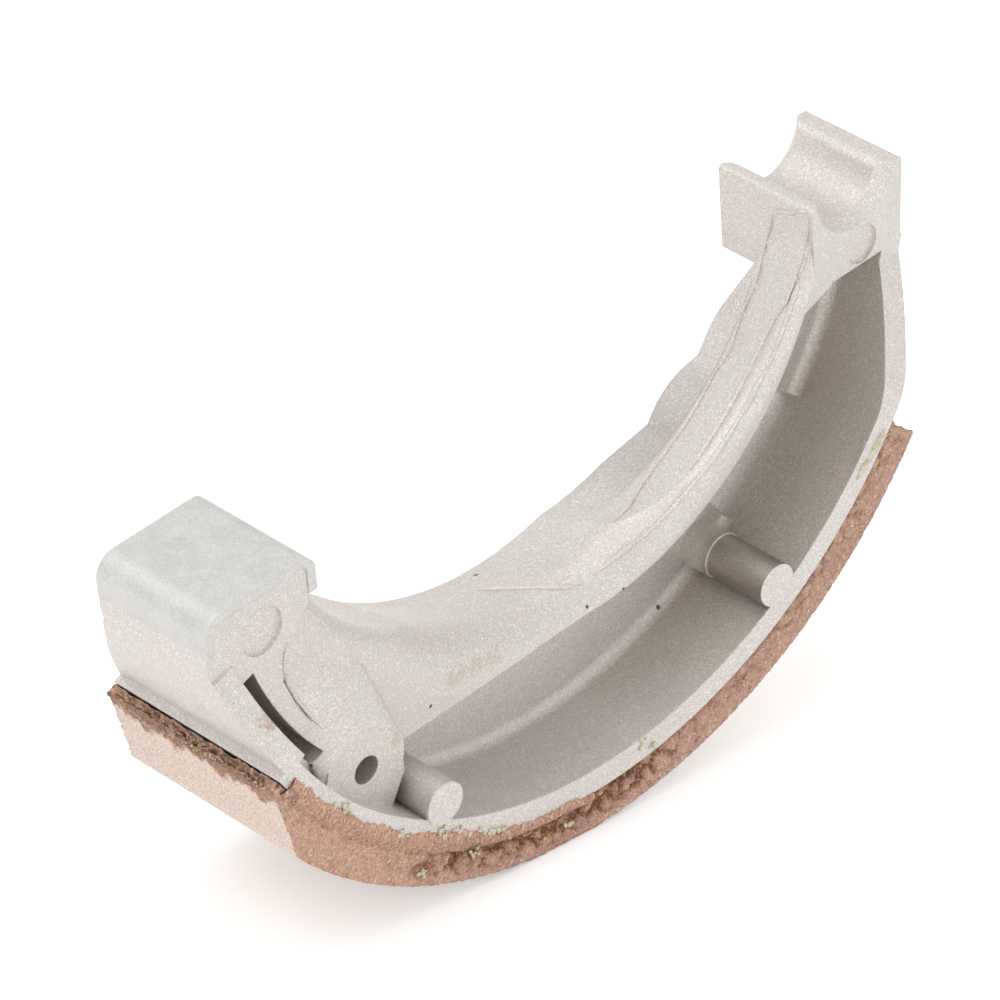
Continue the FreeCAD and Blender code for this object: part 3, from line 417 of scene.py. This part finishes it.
def moulded_friction_mix(finish):
    """Moulded friction compound: matt salmon-brown resin with pale mineral and copper chips, red-brown and
    darkened by painted shade in its cracks, nearly black painted shade in the pits of its crumbly end, and
    ground to a lighter beige on the chamfer and the rubbing face."""
    material, tree = new_material("moulded_friction_mix")
    here = shoe_coordinates(tree)
    at, x, y, radius = (here[key] for key in ("at", "x", "y", "radius"))
    sideways = shoe_normal(tree)[1]
    clouds = add_node(tree, "ShaderNodeTexNoise",
                      {"Vector": at, "Scale": 1 / (2.4 * MM), "Detail": 4.0, "Roughness": 0.7})["Fac"]
    dust = add_node(tree, "ShaderNodeTexNoise",
                    {"Vector": at, "Scale": 1 / (0.24 * MM), "Detail": 2.0, "Roughness": 0.75})["Fac"]
    grit = add_node(tree, "ShaderNodeTexNoise",
                    {"Vector": at, "Scale": 1 / (0.75 * MM), "Detail": 3.0, "Roughness": 0.7})["Fac"]

    shift = add_node(tree, "ShaderNodeMapRange",
                     {"Value": clouds, **NOISE_SPAN, "To Min": -5 * MM, "To Max": 5 * MM})[0]
    shifted_x = add_node(tree, "ShaderNodeMath", {0: x, 1: shift}, operation="ADD")[0]
    blotches = add_node(tree, "ShaderNodeMapRange",
                        {"Value": clouds, "From Min": 0.52, "From Max": 0.66, "To Max": 0.6})[0]
    colour = layered(tree, finish.side, (finish.sandy, zone(tree, (shifted_x, -24 * MM, -34 * MM))),
                     ([c * 0.72 for c in finish.side], blotches))

    # On the cam end, a crumbly band above an uneven border and the ground chamfer below it
    wander = add_node(tree, "ShaderNodeMapRange",
                      {"Value": clouds, **NOISE_SPAN, "To Min": -0.5 * MM, "To Max": 0.5 * MM})[0]
    uneven = add_node(tree, "ShaderNodeMath", {0: radius, 1: wander}, operation="ADD")[0]
    high, low = (CHAMFER_START - 0.3) * MM, CHAMFER_START * MM
    end_face = ((sideways, 0.75, 0.45), (x, -40 * MM, -44 * MM))
    crumbly = zone(tree, *end_face, (uneven, low, high))
    chamfer = zone(tree, *end_face, (uneven, high, low))
    rubbing_face = zone(tree, (sideways, 0.75, 0.45),
                        (radius, (DRUM_RADIUS - 0.55) * MM, (DRUM_RADIUS - 0.3) * MM))
    ground = add_node(tree, "ShaderNodeMath", {0: chamfer, 1: rubbing_face}, operation="MAXIMUM")[0]
    colour = layered(tree, colour, (finish.crumbly, crumbly))

    chips = add_node(tree, "ShaderNodeTexVoronoi", {"Vector": at, "Scale": 1 / (0.3 * MM)})["Color"]
    chosen = add_node(tree, "ShaderNodeSeparateColor", {0: chips})
    for channel, rarity, tone, strength in ((0, 0.84, finish.chip, 0.5), (1, 0.88, finish.crevice, 0.3)):
        chip = add_node(tree, "ShaderNodeMath", {0: chosen[channel], 1: rarity},
                        operation="GREATER_THAN")[0]
        share = add_node(tree, "ShaderNodeMath", {0: chip, 1: strength}, operation="MULTIPLY")[0]
        colour = layered(tree, colour, (tone, share))
    rubbed = add_node(tree, "ShaderNodeMath", {0: ground, 1: 0.88}, operation="MULTIPLY")[0]
    colour = layered(tree, colour, (finish.rubbed, rubbed))

    # Rubble of several tones lies in the cracks and wherever a side face has sunk. The cracks are found by
    # ambient occlusion, so their dark rubble is partly painted shade, and on the crumbly end these places
    # get a nearly black painted shade instead
    cracks = add_node(tree, "ShaderNodeAmbientOcclusion", {"Distance": 1.3 * MM}, samples=6)["AO"]
    cracks = add_node(tree, "ShaderNodeMapRange",
                      {"Value": cracks, "From Min": 0.86, "From Max": 0.45, "To Max": 0.9})[0]
    half_width = add_node(tree, "ShaderNodeMath", {0: y}, operation="ABSOLUTE")[0]
    sunk = zone(tree, (half_width, (HALF_WIDTH - 0.4) * MM, (HALF_WIDTH - 0.8) * MM), (sideways, 0.3, 0.6))
    broken = add_node(tree, "ShaderNodeMath", {0: cracks, 1: sunk}, operation="MAXIMUM")[0]
    dusty_grit = add_node(tree, "ShaderNodeMapRange",
                          {"Value": grit, "From Min": 0.46, "From Max": 0.36, "To Max": 0.8})[0]
    rubble = layered(tree, finish.crevice, (finish.ochre, zone(tree, (grit, 0.5, 0.62))),
                     (finish.side, dusty_grit))
    deep = add_node(tree, "ShaderNodeMath", {0: broken, 1: crumbly}, operation="MULTIPLY")[0]
    colour = layered(tree, colour, (rubble, broken), (finish.gap, deep))
    value = add_node(tree, "ShaderNodeMapRange",
                     {"Value": dust, **NOISE_SPAN, "To Min": 0.66, "To Max": 1.3})[0]
    shaded = add_node(tree, "ShaderNodeVectorMath", {0: colour, 1: value}, operation="MULTIPLY")[0]

    bump = add_node(tree, "ShaderNodeBump", {"Strength": 0.8, "Distance": 0.16 * MM, "Height": dust})[0]
    surface = add_node(tree, "ShaderNodeBsdfPrincipled",
                       {"Base Color": shaded, "Normal": bump, "Metallic": 0.0, "Roughness": 0.8})[0]
    add_node(tree, "ShaderNodeOutputMaterial", {"Surface": surface})
    return material


def set_adhesive(finish):
    """Phenolic bonding adhesive that was squeezed out and set: dull straw yellow, dusty, barely glossy."""
    material, tree = new_material("set_adhesive")
    place = add_node(tree, "ShaderNodeTexCoord")["Object"]
    cloud = add_node(tree, "ShaderNodeTexNoise",
                     {"Vector": place, "Scale": 1 / (0.8 * MM), "Detail": 4.0, "Roughness": 0.7})["Fac"]
    colour = layered(tree, finish.resin, (finish.dusty, zone(tree, (cloud, 0.4, 0.65))))
    surface = add_node(tree, "ShaderNodeBsdfPrincipled", {"Base Color": colour, "Roughness": 0.55})[0]
    add_node(tree, "ShaderNodeOutputMaterial", {"Surface": surface})
    return material


def plain_floor():
    """Matt white studio floor, seen as pure white where no shadow falls."""
    material, tree = new_material("studio_floor")
    matt = add_node(tree, "ShaderNodeBsdfPrincipled", {"Base Color": (0.8, 0.8, 0.8), "Roughness": 0.9})[0]
    rays = add_node(tree, "ShaderNodeLightPath")
    seen = rays["Is Camera Ray"]
    for ray in ("Is Glossy Ray", "Is Transmission Ray"):
        seen = add_node(tree, "ShaderNodeMath", {0: seen, 1: rays[ray]}, operation="MAXIMUM")[0]
    strength = add_node(tree, "ShaderNodeMath", {0: seen, 1: FLOOR_GLOW}, operation="MULTIPLY")[0]
    glow = add_node(tree, "ShaderNodeEmission", {"Strength": strength})[0]
    both = add_node(tree, "ShaderNodeAddShader", {0: matt, 1: glow})[0]
    add_node(tree, "ShaderNodeOutputMaterial", {"Surface": both})
    return material


def paint(piece, material):
    """Gives a piece one material."""
    piece.data.materials.clear()
    piece.data.materials.append(material)


def select_only(piece):
    """Selects one piece alone and makes it the active one."""
    bpy.ops.object.select_all(action="DESELECT")
    piece.select_set(True)
    bpy.context.view_layer.objects.active = piece


def face_outwards(merge=0.0):
    """Merges the active piece's points that lie closer than merge, and turns its faces outwards."""
    bpy.ops.object.mode_set(mode="EDIT")
    bpy.ops.mesh.select_all(action="SELECT")
    if merge:
        bpy.ops.mesh.remove_doubles(threshold=merge)
    bpy.ops.mesh.normals_make_consistent(inside=False)
    bpy.ops.object.mode_set(mode="OBJECT")


def photo_ray(pixel):
    """Direction of the photo camera's ray through a pixel."""
    step = SENSOR / FRAME_SIDE / LENS
    across, down = pixel
    right, up = (across - FRAME_SIDE / 2) * step, (FRAME_SIDE / 2 - down) * step
    return (EYE_RIGHT * right + EYE_UP * up - EYE_BACK).normalized()


def on_casting(pixel):
    """Point of the casting that the photo camera sees at a pixel."""
    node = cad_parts["shoe_casting"]
    found, place, _, _ = node.ray_cast(EYE, photo_ray(pixel),
                                       depsgraph=bpy.context.evaluated_depsgraph_get())
    if not found:
        raise RuntimeError("no casting at pixel %s" % (pixel,))
    return place


def on_lining(pixel):
    """Point of the moulded lining that the photo camera sees at a pixel."""
    lining = bpy.data.objects["friction_lining_moulded"]
    found, place, _, _ = lining.ray_cast(EYE, photo_ray(pixel))
    if not found:
        raise RuntimeError("no lining at pixel %s" % (pixel,))
    return place


def on_near_face(pixel):
    """Point of the shoe's near side plane that the photo camera sees at a pixel."""
    ray = photo_ray(pixel)
    return EYE + ray * ((-HALF_WIDTH * MM - EYE.y) / ray.y)


def evenly(pixels, steps):
    """Pixels spread evenly along straight runs between the given ones."""
    spread = []
    for (x0, y0), (x1, y1) in zip(pixels, pixels[1:]):
        spread += [(x0 + (x1 - x0) * i / steps, y0 + (y1 - y0) * i / steps) for i in range(steps)]
    return spread + [pixels[-1]]


def along_surface(pixels):
    """Points of the casting under a run of pixels, without those that fall past an edge."""
    places = [on_casting(pixels[0])]
    for pixel in pixels[1:]:
        place = on_casting(pixel)
        if (place - places[-1]).length < LARGEST_STEP:
            places.append(place)
    return places


def ragged_thread(name, points, radius, seed):
    """Thin uneven raised line along points of the surface, half sunk into it and tapered at its ends."""
    draw = random.Random(seed)
    bpy.ops.object.select_all(action="DESELECT")
    bpy.ops.curve.primitive_nurbs_path_add(radius=1.0, location=(0, 0, 0))
    thread = bpy.context.active_object
    thread.name = name
    curve = thread.data
    curve.splines.clear()
    spline = curve.splines.new("NURBS")
    last = len(points) - 1
    spline.points.add(last)
    for number, (point, place) in enumerate(zip(spline.points, points)):
        point.co = (*place, 1.0)
        taper = min(1.0, 0.2 + 0.4 * min(number, last - number))
        point.radius = taper * (1 + THREAD_UNEVENNESS * draw.uniform(-1, 1))
    spline.order_u = 3
    spline.use_endpoint_u = True
    spline.resolution_u = 8
    curve.bevel_depth = radius
    curve.bevel_resolution = 2
    curve.use_fill_caps = True
    bpy.ops.object.convert(target="MESH")
    face_outwards(merge=0.002 * MM)
    return bpy.context.active_object


class SHOE_OT_casting(bpy.types.Operator):
    """Gives the casting its tumbled die-cast skin and its parting seams"""
    bl_idname = "shoe.casting"
    bl_label = "Casting"

    def execute(self, context):
        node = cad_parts["shoe_casting"]
        skin = die_cast_aluminium(context.scene.shoe_casting_finish)
        paint(node, skin)
        for number, (name, pixels) in enumerate(SEAMS.items()):
            seam = ragged_thread(name, along_surface(evenly(pixels, 3)), SEAM_RADIUS, number)
            paint(seam, skin)
            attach(seam, "root")
        return {"FINISHED"}


class SHOE_OT_cap(bpy.types.Operator):
    """Gives the folded cap its rolled steel"""
    bl_idname = "shoe.cap"
    bl_label = "Cam pad cap"

    def execute(self, context):
        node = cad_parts["cam_pad_cap"]
        paint(node, rolled_steel(context.scene.shoe_cap_finish))
        return {"FINISHED"}


def step_between(value, low, high):
    """Share from 0 at low to 1 at high."""
    return max(0.0, min(1.0, (value - low) / (high - low)))


def side_share(y):
    """1 on the lining's two side faces, and 0 further in."""
    return step_between(abs(y), HALF_WIDTH - 0.8, HALF_WIDTH - 0.2)


def broken_share(radius, angle, y):
    """Where the lining's sides are cracked: most of all past the sandy cam end."""
    side = side_share(y) * step_between(radius, DRUM_RADIUS - 0.2, DRUM_RADIUS - 0.9)
    middle = step_between(angle, -36, -28) * (1 - 0.7 * step_between(angle, 2, 12))
    joint_side = 1 - 0.55 * step_between(radius, 62.3, 63.8)
    return side * joint_side * (0.15 + 0.85 * middle)


def crumble_share(radius, angle, y):
    """Where the lining crumbles: the upper half of its cam end, its pivot end and along the joint."""
    inner = step_between(radius, LINING_INNER + 0.1, LINING_INNER + 0.35)
    side = side_share(y)
    joint = side * inner * step_between(radius, LINING_INNER + 1.2, LINING_INNER + 0.5)
    cam_end = step_between(angle, -56, -58) * step_between(radius, CHAMFER_START + 0.2, CHAMFER_START - 0.3)
    cam_end *= (0.5 + 0.5 * inner) * step_between(abs(y), HALF_WIDTH - 0.3, HALF_WIDTH - 3.0)
    pivot_end = (1 - side) * inner * step_between(angle, LINING_PIVOT_END - 1.2, LINING_PIVOT_END - 0.3)
    return max(0.6 * joint, cam_end, 0.8 * pivot_end)


def sandy_share(radius, angle, y):
    """Fine grain everywhere but on the bonded face, faint on the rubbing face."""
    inner = step_between(radius, LINING_INNER + 0.05, LINING_INNER + 0.3)
    outer = step_between(radius, DRUM_RADIUS - 0.15, DRUM_RADIUS - 0.5)
    return inner * (0.25 + 0.75 * outer)


def weigh(piece, name, share):
    """Vertex group whose weight is worked out from each vertex's radius, angle and side."""
    group = piece.vertex_groups.new(name=name)
    for vertex in piece.data.vertices:
        x, y, z = vertex.co
        radius = math.hypot(x, z) / MM
        angle = math.degrees(math.atan2(x, -z)) - math.degrees(REST_TURN)
        weight = share(radius, angle, y / MM)
        if weight > 0:
            group.add([vertex.index], min(1.0, weight), "REPLACE")
    return group.name


def roughen(piece, name, group, texture_kind, grain, depth, **settings):
    """Sinks the surface by a texture, never raising it."""
    texture = bpy.data.textures.new(name, texture_kind)
    texture.noise_scale = grain
    texture.use_color_ramp = True
    texture.color_ramp.elements[0].color = (0, 0, 0, 1)
    texture.color_ramp.elements[1].color = (1, 1, 1, 1)
    for key, value in settings.items():
        setattr(texture, key, value)
    modifier = piece.modifiers.new(name, "DISPLACE")
    modifier.texture = texture
    modifier.texture_coords = "LOCAL"
    modifier.direction = "NORMAL"
    modifier.mid_level = 1.0
    modifier.strength = depth
    modifier.vertex_group = group
    bpy.ops.object.modifier_apply(modifier=name)


def broken_lining(node, voxel):
    """Copy of the plain lining with an even mesh, cracked sides, crumbly ends and sandy faces."""
    lining = bpy.data.objects.new("friction_lining_moulded", node.data.copy())
    bpy.context.scene.collection.objects.link(lining)
    select_only(lining)
    face_outwards(merge=0.01 * MM)
    voxels = lining.modifiers.new("even_mesh", "REMESH")
    voxels.mode = "VOXEL"
    voxels.voxel_size = voxel
    bpy.ops.object.modifier_apply(modifier="even_mesh")
    broken = weigh(lining, "broken", broken_share)
    crumbling = weigh(lining, "crumbling", crumble_share)
    sandy = weigh(lining, "sandy", sandy_share)
    roughen(lining, "cracks", broken, "VORONOI", 2.6 * MM, 1.1 * MM, weight_1=-1.0, weight_2=1.0,
            noise_intensity=10.0)
    roughen(lining, "flakes", broken, "CLOUDS", 0.8 * MM, 0.6 * MM, noise_depth=2, contrast=3.0)
    roughen(lining, "crumbs", crumbling, "CLOUDS", 0.8 * MM, 0.85 * MM, noise_depth=2, contrast=2.0)
    roughen(lining, "sand", sandy, "CLOUDS", 0.5 * MM, 0.2 * MM, noise_depth=1, contrast=2.0)
    for vertex in lining.data.vertices:
        vertex.co.y = max(-HALF_WIDTH * MM, min(HALF_WIDTH * MM, vertex.co.y))
    bpy.ops.object.shade_smooth()
    return lining


def joint_radius(angle):
    """Radius in millimetres that the lining's dust and resin reach on the near side of the rim."""
    return 58.0 + 1.1 * step_between(angle, -28, -21) + 0.7 * step_between(angle, -9, -4)


def overspill(name):
    """Thin ragged crust of lining dust and resin on the near side of the rim, above the joint."""
    draw = random.Random(11)
    bpy.ops.object.select_all(action="DESELECT")
    bpy.ops.mesh.primitive_grid_add(x_subdivisions=CRUST_COLUMNS, y_subdivisions=CRUST_ROWS, size=2.0)
    crust = bpy.context.active_object
    crust.name = name
    bite = 0.0
    bites = []
    for _ in range(CRUST_COLUMNS + 1):
        bite = CRUST_MEMORY * bite + draw.uniform(-CRUST_BITE, CRUST_BITE)
        bites.append(bite)
    # The grid is wrapped along the joint, proud of the rim at its upper edge and sunk into the lining below
    for vertex in crust.data.vertices:
        along, across = (vertex.co.x + 1) / 2, (vertex.co.y + 1) / 2
        angle = CRUST_FIRST_ANGLE + along * (CRUST_LAST_ANGLE - CRUST_FIRST_ANGLE)
        inner = joint_radius(angle) + bites[round(along * CRUST_COLUMNS)]
        radius = inner + across * (LINING_INNER + 1.4 - inner)
        rise = step_between(across, 0.0, 0.2) * draw.uniform(0.5, 1.0)
        proud = -0.1 + 0.38 * rise - 0.9 * step_between(across, 0.45, 1.0)
        turned = math.radians(angle) + REST_TURN
        vertex.co = (radius * math.sin(turned) * MM, -(HALF_WIDTH + proud) * MM,
                     -radius * math.cos(turned) * MM)
    select_only(crust)
    backing = crust.modifiers.new("backing", "SOLIDIFY")
    backing.thickness = 0.3 * MM
    backing.offset = 0.0
    bpy.ops.object.modifier_apply(modifier="backing")
    face_outwards()
    return crust


class SHOE_OT_lining(bpy.types.Operator):
    """Models the lining's broken, sandy faces and gives it its friction compound"""
    bl_idname = "shoe.lining"
    bl_label = "Friction lining"

    def execute(self, context):
        finish = context.scene.shoe_lining_finish
        compound = moulded_friction_mix(finish)
        lining = broken_lining(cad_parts["friction_lining"], finish.voxel)
        paint(lining, compound)
        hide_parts("friction_lining")
        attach(lining, "root")
        crust = overspill("lining_overspill")
        paint(crust, compound)
        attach(crust, "root")
        return {"FINISHED"}


def crumb_heap(name, draw):
    """Crumbs of adhesive in one piece, scattered over the fields of the near face and of the cam end."""
    bpy.ops.object.select_all(action="DESELECT")
    first = on_near_face(FIRST_CRUMB)
    bpy.ops.mesh.primitive_ico_sphere_add(subdivisions=2, radius=0.3 * MM, location=first)
    crumbs = bpy.context.active_object
    crumbs.name = name
    bpy.ops.object.transform_apply(location=True, rotation=True, scale=True)
    bpy.ops.object.mode_set(mode="EDIT")
    fields = [(on_near_face, CRUMB_PROUD, 1.0, field) for field in CRUMB_FIELDS]
    fields += [(on_lining, 0.0, END_CRUMB_SHARE, field) for field in END_CRUMBS]
    for surface_point, outward, share, (across, down, count) in fields:
        for _ in range(count):
            bpy.ops.mesh.select_all(action="DESELECT")
            place = surface_point((draw.uniform(*across), draw.uniform(*down)))
            place.y += outward
            bpy.ops.mesh.primitive_ico_sphere_add(subdivisions=2, location=place,
                                                  radius=share * draw.uniform(*CRUMB_SIZES))
            bpy.ops.transform.resize(value=(draw.uniform(0.8, 1.6), 0.8, draw.uniform(0.8, 1.4)),
                                     center_override=place)
    bpy.ops.object.mode_set(mode="OBJECT")
    face_outwards()
    return crumbs


def knead(piece):
    """Makes a piece of adhesive lumpy."""
    select_only(piece)
    lumps = bpy.data.textures.new("lumps", "CLOUDS")
    lumps.noise_scale = 0.5 * MM
    modifier = piece.modifiers.new("knead", "DISPLACE")
    modifier.texture = lumps
    modifier.texture_coords = "LOCAL"
    modifier.strength = 0.2 * MM
    bpy.ops.object.modifier_apply(modifier="knead")
    bpy.ops.object.shade_smooth()


class SHOE_OT_adhesive(bpy.types.Operator):
    """Models the strand and the crumbs of set adhesive along the bonded joint"""
    bl_idname = "shoe.adhesive"
    bl_label = "Adhesive"

    def execute(self, context):
        resin = set_adhesive(context.scene.shoe_adhesive_finish)
        places = [on_near_face(pixel) for pixel in evenly(PIVOT_STRAND, 2)]
        strand = ragged_thread("adhesive_strand", places, STRAND_RADIUS, 3)
        bpy.ops.object.mode_set(mode="EDIT")
        bpy.ops.mesh.select_all(action="SELECT")
        bpy.ops.transform.resize(value=(1.0, STRAND_FLATNESS, 1.0), center_override=(0, -HALF_WIDTH * MM, 0))
        bpy.ops.object.mode_set(mode="OBJECT")
        crumbs = crumb_heap("adhesive_crumbs", random.Random(5))
        for piece in (strand, crumbs):
            knead(piece)
            paint(piece, resin)
            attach(piece, "root")
        return {"FINISHED"}


def soft_lamp(name, place, aim, size, power):
    """Large square lamp aimed at a point."""
    lamp = bpy.data.lights.new(name, "AREA")
    lamp.size = size
    lamp.energy = power
    holder = bpy.data.objects.new(name, lamp)
    bpy.context.scene.collection.objects.link(holder)
    holder.location = place
    holder.rotation_euler = (Vector(aim) - Vector(place)).to_track_quat("-Z", "Y").to_euler()


def photo_camera():
    """Camera with the lens, axes and place of the photograph's."""
    data = bpy.data.cameras.new("photo_camera")
    data.sensor_width = SENSOR
    data.lens = LENS
    data.clip_end = 20.0
    camera = bpy.data.objects.new("photo_camera", data)
    bpy.context.scene.collection.objects.link(camera)
    camera.matrix_world = Matrix((
        (EYE_RIGHT.x, EYE_UP.x, EYE_BACK.x, EYE.x),
        (EYE_RIGHT.y, EYE_UP.y, EYE_BACK.y, EYE.y),
        (EYE_RIGHT.z, EYE_UP.z, EYE_BACK.z, EYE.z),
        (0, 0, 0, 1)))
    return camera


class SHOE_OT_stage(bpy.types.Operator):
    """Sets floor, soft light and the photograph's camera"""
    bl_idname = "shoe.stage"
    bl_label = "Studio"

    def execute(self, context):
        sizes = context.scene.shoe_studio
        bpy.ops.object.select_all(action="DESELECT")
        low = CAD_BOX[0][2]
        bpy.ops.mesh.primitive_plane_add(size=2 * sizes.floor_reach, location=(0, 0, low))
        floor = context.active_object
        floor.name = "studio_floor"
        paint(floor, plain_floor())

        world = bpy.data.worlds.new("soft_room")
        context.scene.world = world
        world.use_nodes = True
        tree = world.node_tree
        tree.nodes.clear()
        sky = add_node(tree, "ShaderNodeBackground", {"Color": (1, 1, 1), "Strength": sizes.room})[0]
        add_node(tree, "ShaderNodeOutputWorld", {"Surface": sky})
        soft_lamp(*KEY_LAMP, sizes.key_power)
        soft_lamp(*FILL_LAMP, sizes.fill_power)

        context.scene.camera = photo_camera()
        context.scene.view_settings.view_transform = "Standard"
        return {"FINISHED"}


class SHOE_PT_panel(bpy.types.Panel):
    """Lists the pieces of the brake shoe"""
    bl_label = "Brake Shoe"
    bl_idname = "SHOE_PT_panel"
    bl_space_type = "VIEW_3D"
    bl_region_type = "UI"
    bl_category = "Brake Shoe"

    def draw(self, context):
        for operator in OPERATORS:
            self.layout.operator(operator.bl_idname)


OPERATORS = (SHOE_OT_casting, SHOE_OT_cap, SHOE_OT_lining, SHOE_OT_adhesive, SHOE_OT_stage)
SCENE_FIELDS = {"shoe_casting_finish": CastingFinish, "shoe_cap_finish": CapFinish,
                "shoe_lining_finish": LiningFinish, "shoe_adhesive_finish": AdhesiveFinish,
                "shoe_studio": StudioSizes}
CLASSES = (*SCENE_FIELDS.values(), *OPERATORS, SHOE_PT_panel)


def register():
    for item in CLASSES:
        bpy.utils.register_class(item)
    for field, group in SCENE_FIELDS.items():
        setattr(bpy.types.Scene, field, PointerProperty(type=group))


def unregister():
    for field in SCENE_FIELDS:
        delattr(bpy.types.Scene, field)
    for item in reversed(CLASSES):
        bpy.utils.unregister_class(item)


def main():
    register()
    bpy.ops.shoe.casting()
    bpy.ops.shoe.cap()
    bpy.ops.shoe.lining()
    bpy.ops.shoe.adhesive()
    bpy.ops.shoe.stage()


if __name__ == "__main__":
    main()
